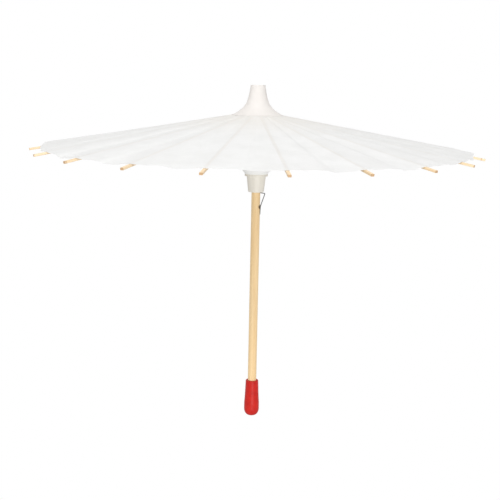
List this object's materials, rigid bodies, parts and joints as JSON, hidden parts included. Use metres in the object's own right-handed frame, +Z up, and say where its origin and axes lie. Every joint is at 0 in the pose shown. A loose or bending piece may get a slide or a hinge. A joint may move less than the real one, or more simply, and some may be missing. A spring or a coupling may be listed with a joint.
{
  "type": "oil paper umbrella",
  "caption": "Folding oil paper umbrella: paper canopy on split bamboo ribs and stretchers, sliding runner with a wire catch, wooden shaft and a red end cap.",
  "frame": {"origin": "middle of the handle cap's underside, on the shaft's axis", "axes": "+Z up along the shaft towards the crown; +X towards the side of the shaft that carries the catch spring, midway between two ribs"},
  "size_m": [0.5026, 0.5026, 0.3882],
  "materials": {
    "shaft_wood": "smooth pale straight-grained wood",
    "bamboo": "split bamboo",
    "hub_plastic": "cream, satin",
    "oil_paper": "white oiled paper, slightly translucent",
    "collar_paper": "off-white paper, slightly glossy",
    "wire": "dark drawn wire",
    "red_cap": "glossy red"
  },
  "bodies": {
    "shaft": {"shaft": "shaft_wood", "crown": "hub_plastic", "crown_wire": "wire", "paper_collar": "collar_paper", "handle_cap": "red_cap"},
    "runner": {"runner": "hub_plastic", "runner_wire": "wire"},
    "catch_spring": {"catch_spring": "wire"},
    "rib_01": {"rib_01": "bamboo", "paper_gore_01": "oil_paper"},
    "stretcher_01": {"stretcher_01": "bamboo"},
    "rib_02": {"rib_02": "bamboo"},
    "stretcher_02": {"stretcher_02": "bamboo"},
    "rib_03": {"rib_03": "bamboo", "paper_gore_02": "oil_paper"},
    "stretcher_03": {"stretcher_03": "bamboo"},
    "rib_04": {"rib_04": "bamboo"},
    "stretcher_04": {"stretcher_04": "bamboo"},
    "rib_05": {"rib_05": "bamboo", "paper_gore_03": "oil_paper"},
    "stretcher_05": {"stretcher_05": "bamboo"},
    "rib_06": {"rib_06": "bamboo"},
    "stretcher_06": {"stretcher_06": "bamboo"},
    "rib_07": {"rib_07": "bamboo", "paper_gore_04": "oil_paper"},
    "stretcher_07": {"stretcher_07": "bamboo"},
    "rib_08": {"rib_08": "bamboo"},
    "stretcher_08": {"stretcher_08": "bamboo"},
    "rib_09": {"rib_09": "bamboo", "paper_gore_05": "oil_paper"},
    "stretcher_09": {"stretcher_09": "bamboo"},
    "rib_10": {"rib_10": "bamboo"},
    "stretcher_10": {"stretcher_10": "bamboo"},
    "rib_11": {"rib_11": "bamboo", "paper_gore_06": "oil_paper"},
    "stretcher_11": {"stretcher_11": "bamboo"},
    "rib_12": {"rib_12": "bamboo"},
    "stretcher_12": {"stretcher_12": "bamboo"},
    "rib_13": {"rib_13": "bamboo", "paper_gore_07": "oil_paper"},
    "stretcher_13": {"stretcher_13": "bamboo"},
    "rib_14": {"rib_14": "bamboo"},
    "stretcher_14": {"stretcher_14": "bamboo"},
    "rib_15": {"rib_15": "bamboo", "paper_gore_08": "oil_paper"},
    "stretcher_15": {"stretcher_15": "bamboo"},
    "rib_16": {"rib_16": "bamboo"},
    "stretcher_16": {"stretcher_16": "bamboo"},
    "rib_17": {"rib_17": "bamboo", "paper_gore_09": "oil_paper"},
    "stretcher_17": {"stretcher_17": "bamboo"},
    "rib_18": {"rib_18": "bamboo"},
    "stretcher_18": {"stretcher_18": "bamboo"},
    "rib_19": {"rib_19": "bamboo", "paper_gore_10": "oil_paper"},
    "stretcher_19": {"stretcher_19": "bamboo"},
    "rib_20": {"rib_20": "bamboo"},
    "stretcher_20": {"stretcher_20": "bamboo"}
  },
  "joints": [
    {"name": "rib_01_fold", "type": "hinge", "parent": "shaft", "child": "rib_01", "pos_m": [0.01185, 0.00188, 0.356], "axis": [-0.1564, 0.9877, 0], "range_deg": [0, 75], "deforming": ["catch_spring", "paper_gore_01", "paper_gore_02", "paper_gore_03", "paper_gore_04", "paper_gore_05", "paper_gore_06", "paper_gore_07", "paper_gore_08", "paper_gore_09", "paper_gore_10"]},
    {"name": "stretcher_01_pivot", "type": "hinge", "parent": "rib_01", "child": "stretcher_01", "pos_m": [0.12663, 0.02006, 0.33551], "axis": [-0.1564, 0.9877, 0], "range_deg": [-150, 0]},
    {"name": "rib_02_fold", "type": "hinge", "parent": "shaft", "child": "rib_02", "pos_m": [0.01069, 0.00545, 0.356], "axis": [-0.454, 0.891, 0], "range_deg": [0, 75]},
    {"name": "stretcher_02_pivot", "type": "hinge", "parent": "rib_02", "child": "stretcher_02", "pos_m": [0.11423, 0.0582, 0.33551], "axis": [-0.454, 0.891, 0], "range_deg": [-150, 0]},
    {"name": "rib_03_fold", "type": "hinge", "parent": "shaft", "child": "rib_03", "pos_m": [0.00849, 0.00849, 0.356], "axis": [-0.7071, 0.7071, 0], "range_deg": [0, 75]},
    {"name": "stretcher_03_pivot", "type": "hinge", "parent": "rib_03", "child": "stretcher_03", "pos_m": [0.09066, 0.09066, 0.33551], "axis": [-0.7071, 0.7071, 0], "range_deg": [-150, 0]},
    {"name": "rib_04_fold", "type": "hinge", "parent": "shaft", "child": "rib_04", "pos_m": [0.00545, 0.01069, 0.356], "axis": [-0.891, 0.454, 0], "range_deg": [0, 75]},
    {"name": "stretcher_04_pivot", "type": "hinge", "parent": "rib_04", "child": "stretcher_04", "pos_m": [0.0582, 0.11423, 0.33551], "axis": [-0.891, 0.454, 0], "range_deg": [-150, 0]},
    {"name": "rib_05_fold", "type": "hinge", "parent": "shaft", "child": "rib_05", "pos_m": [0.00188, 0.01185, 0.356], "axis": [-0.9877, 0.1564, 0], "range_deg": [0, 75]},
    {"name": "stretcher_05_pivot", "type": "hinge", "parent": "rib_05", "child": "stretcher_05", "pos_m": [0.02006, 0.12663, 0.33551], "axis": [-0.9877, 0.1564, 0], "range_deg": [-150, 0]},
    {"name": "rib_06_fold", "type": "hinge", "parent": "shaft", "child": "rib_06", "pos_m": [-0.00188, 0.01185, 0.356], "axis": [-0.9877, -0.1564, 0], "range_deg": [0, 75]},
    {"name": "stretcher_06_pivot", "type": "hinge", "parent": "rib_06", "child": "stretcher_06", "pos_m": [-0.02006, 0.12663, 0.33551], "axis": [-0.9877, -0.1564, 0], "range_deg": [-150, 0]},
    {"name": "rib_07_fold", "type": "hinge", "parent": "shaft", "child": "rib_07", "pos_m": [-0.00545, 0.01069, 0.356], "axis": [-0.891, -0.454, 0], "range_deg": [0, 75]},
    {"name": "stretcher_07_pivot", "type": "hinge", "parent": "rib_07", "child": "stretcher_07", "pos_m": [-0.0582, 0.11423, 0.33551], "axis": [-0.891, -0.454, 0], "range_deg": [-150, 0]},
    {"name": "rib_08_fold", "type": "hinge", "parent": "shaft", "child": "rib_08", "pos_m": [-0.00849, 0.00849, 0.356], "axis": [-0.7071, -0.7071, 0], "range_deg": [0, 75]},
    {"name": "stretcher_08_pivot", "type": "hinge", "parent": "rib_08", "child": "stretcher_08", "pos_m": [-0.09066, 0.09066, 0.33551], "axis": [-0.7071, -0.7071, 0], "range_deg": [-150, 0]},
    {"name": "rib_09_fold", "type": "hinge", "parent": "shaft", "child": "rib_09", "pos_m": [-0.01069, 0.00545, 0.356], "axis": [-0.454, -0.891, 0], "range_deg": [0, 75]},
    {"name": "stretcher_09_pivot", "type": "hinge", "parent": "rib_09", "child": "stretcher_09", "pos_m": [-0.11423, 0.0582, 0.33551], "axis": [-0.454, -0.891, 0], "range_deg": [-150, 0]},
    {"name": "rib_10_fold", "type": "hinge", "parent": "shaft", "child": "rib_10", "pos_m": [-0.01185, 0.00188, 0.356], "axis": [-0.1564, -0.9877, 0], "range_deg": [0, 75]},
    {"name": "stretcher_10_pivot", "type": "hinge", "parent": "rib_10", "child": "stretcher_10", "pos_m": [-0.12663, 0.02006, 0.33551], "axis": [-0.1564, -0.9877, 0], "range_deg": [-150, 0]},
    {"name": "rib_11_fold", "type": "hinge", "parent": "shaft", "child": "rib_11", "pos_m": [-0.01185, -0.00188, 0.356], "axis": [0.1564, -0.9877, 0], "range_deg": [0, 75]},
    {"name": "stretcher_11_pivot", "type": "hinge", "parent": "rib_11", "child": "stretcher_11", "pos_m": [-0.12663, -0.02006, 0.33551], "axis": [0.1564, -0.9877, 0], "range_deg": [-150, 0]},
    {"name": "rib_12_fold", "type": "hinge", "parent": "shaft", "child": "rib_12", "pos_m": [-0.01069, -0.00545, 0.356], "axis": [0.454, -0.891, 0], "range_deg": [0, 75]},
    {"name": "stretcher_12_pivot", "type": "hinge", "parent": "rib_12", "child": "stretcher_12", "pos_m": [-0.11423, -0.0582, 0.33551], "axis": [0.454, -0.891, 0], "range_deg": [-150, 0]},
    {"name": "rib_13_fold", "type": "hinge", "parent": "shaft", "child": "rib_13", "pos_m": [-0.00849, -0.00849, 0.356], "axis": [0.7071, -0.7071, 0], "range_deg": [0, 75]},
    {"name": "stretcher_13_pivot", "type": "hinge", "parent": "rib_13", "child": "stretcher_13", "pos_m": [-0.09066, -0.09066, 0.33551], "axis": [0.7071, -0.7071, 0], "range_deg": [-150, 0]},
    {"name": "rib_14_fold", "type": "hinge", "parent": "shaft", "child": "rib_14", "pos_m": [-0.00545, -0.01069, 0.356], "axis": [0.891, -0.454, 0], "range_deg": [0, 75]},
    {"name": "stretcher_14_pivot", "type": "hinge", "parent": "rib_14", "child": "stretcher_14", "pos_m": [-0.0582, -0.11423, 0.33551], "axis": [0.891, -0.454, 0], "range_deg": [-150, 0]},
    {"name": "rib_15_fold", "type": "hinge", "parent": "shaft", "child": "rib_15", "pos_m": [-0.00188, -0.01185, 0.356], "axis": [0.9877, -0.1564, 0], "range_deg": [0, 75]},
    {"name": "stretcher_15_pivot", "type": "hinge", "parent": "rib_15", "child": "stretcher_15", "pos_m": [-0.02006, -0.12663, 0.33551], "axis": [0.9877, -0.1564, 0], "range_deg": [-150, 0]},
    {"name": "rib_16_fold", "type": "hinge", "parent": "shaft", "child": "rib_16", "pos_m": [0.00188, -0.01185, 0.356], "axis": [0.9877, 0.1564, 0], "range_deg": [0, 75]},
    {"name": "stretcher_16_pivot", "type": "hinge", "parent": "rib_16", "child": "stretcher_16", "pos_m": [0.02006, -0.12663, 0.33551], "axis": [0.9877, 0.1564, 0], "range_deg": [-150, 0]},
    {"name": "rib_17_fold", "type": "hinge", "parent": "shaft", "child": "rib_17", "pos_m": [0.00545, -0.01069, 0.356], "axis": [0.891, 0.454, 0], "range_deg": [0, 75]},
    {"name": "stretcher_17_pivot", "type": "hinge", "parent": "rib_17", "child": "stretcher_17", "pos_m": [0.0582, -0.11423, 0.33551], "axis": [0.891, 0.454, 0], "range_deg": [-150, 0]},
    {"name": "rib_18_fold", "type": "hinge", "parent": "shaft", "child": "rib_18", "pos_m": [0.00849, -0.00849, 0.356], "axis": [0.7071, 0.7071, 0], "range_deg": [0, 75]},
    {"name": "stretcher_18_pivot", "type": "hinge", "parent": "rib_18", "child": "stretcher_18", "pos_m": [0.09066, -0.09066, 0.33551], "axis": [0.7071, 0.7071, 0], "range_deg": [-150, 0]},
    {"name": "rib_19_fold", "type": "hinge", "parent": "shaft", "child": "rib_19", "pos_m": [0.01069, -0.00545, 0.356], "axis": [0.454, 0.891, 0], "range_deg": [0, 75]},
    {"name": "stretcher_19_pivot", "type": "hinge", "parent": "rib_19", "child": "stretcher_19", "pos_m": [0.11423, -0.0582, 0.33551], "axis": [0.454, 0.891, 0], "range_deg": [-150, 0]},
    {"name": "rib_20_fold", "type": "hinge", "parent": "shaft", "child": "rib_20", "pos_m": [0.01185, -0.00188, 0.356], "axis": [0.1564, 0.9877, 0], "range_deg": [0, 75]},
    {"name": "stretcher_20_pivot", "type": "hinge", "parent": "rib_20", "child": "stretcher_20", "pos_m": [0.12663, -0.02006, 0.33551], "axis": [0.1564, 0.9877, 0], "range_deg": [-150, 0]},
    {"name": "runner_pivot", "type": "hinge", "parent": "stretcher_01", "child": "runner", "pos_m": [0.01185, 0.00188, 0.31502], "axis": [-0.1564, 0.9877, 0], "range_deg": [0, 75]},
    {"name": "catch_press", "type": "hinge", "parent": "shaft", "child": "catch_spring", "pos_m": [0.003, 0, 0.2395], "axis": [0, -1, 0], "range_deg": [0, 13.5], "stiffness_Nm_per_rad": 0.02}
  ],
  "couplings": [
    {"joint": "stretcher_01_pivot", "follows": "rib_01_fold", "ratio": -2},
    {"joint": "rib_02_fold", "follows": "rib_01_fold", "ratio": 1},
    {"joint": "stretcher_02_pivot", "follows": "rib_01_fold", "ratio": -2},
    {"joint": "rib_03_fold", "follows": "rib_01_fold", "ratio": 1},
    {"joint": "stretcher_03_pivot", "follows": "rib_01_fold", "ratio": -2},
    {"joint": "rib_04_fold", "follows": "rib_01_fold", "ratio": 1},
    {"joint": "stretcher_04_pivot", "follows": "rib_01_fold", "ratio": -2},
    {"joint": "rib_05_fold", "follows": "rib_01_fold", "ratio": 1},
    {"joint": "stretcher_05_pivot", "follows": "rib_01_fold", "ratio": -2},
    {"joint": "rib_06_fold", "follows": "rib_01_fold", "ratio": 1},
    {"joint": "stretcher_06_pivot", "follows": "rib_01_fold", "ratio": -2},
    {"joint": "rib_07_fold", "follows": "rib_01_fold", "ratio": 1},
    {"joint": "stretcher_07_pivot", "follows": "rib_01_fold", "ratio": -2},
    {"joint": "rib_08_fold", "follows": "rib_01_fold", "ratio": 1},
    {"joint": "stretcher_08_pivot", "follows": "rib_01_fold", "ratio": -2},
    {"joint": "rib_09_fold", "follows": "rib_01_fold", "ratio": 1},
    {"joint": "stretcher_09_pivot", "follows": "rib_01_fold", "ratio": -2},
    {"joint": "rib_10_fold", "follows": "rib_01_fold", "ratio": 1},
    {"joint": "stretcher_10_pivot", "follows": "rib_01_fold", "ratio": -2},
    {"joint": "rib_11_fold", "follows": "rib_01_fold", "ratio": 1},
    {"joint": "stretcher_11_pivot", "follows": "rib_01_fold", "ratio": -2},
    {"joint": "rib_12_fold", "follows": "rib_01_fold", "ratio": 1},
    {"joint": "stretcher_12_pivot", "follows": "rib_01_fold", "ratio": -2},
    {"joint": "rib_13_fold", "follows": "rib_01_fold", "ratio": 1},
    {"joint": "stretcher_13_pivot", "follows": "rib_01_fold", "ratio": -2},
    {"joint": "rib_14_fold", "follows": "rib_01_fold", "ratio": 1},
    {"joint": "stretcher_14_pivot", "follows": "rib_01_fold", "ratio": -2},
    {"joint": "rib_15_fold", "follows": "rib_01_fold", "ratio": 1},
    {"joint": "stretcher_15_pivot", "follows": "rib_01_fold", "ratio": -2},
    {"joint": "rib_16_fold", "follows": "rib_01_fold", "ratio": 1},
    {"joint": "stretcher_16_pivot", "follows": "rib_01_fold", "ratio": -2},
    {"joint": "rib_17_fold", "follows": "rib_01_fold", "ratio": 1},
    {"joint": "stretcher_17_pivot", "follows": "rib_01_fold", "ratio": -2},
    {"joint": "rib_18_fold", "follows": "rib_01_fold", "ratio": 1},
    {"joint": "stretcher_18_pivot", "follows": "rib_01_fold", "ratio": -2},
    {"joint": "rib_19_fold", "follows": "rib_01_fold", "ratio": 1},
    {"joint": "stretcher_19_pivot", "follows": "rib_01_fold", "ratio": -2},
    {"joint": "rib_20_fold", "follows": "rib_01_fold", "ratio": 1},
    {"joint": "stretcher_20_pivot", "follows": "rib_01_fold", "ratio": -2},
    {"joint": "runner_pivot", "follows": "rib_01_fold", "ratio": 1}
  ]
}
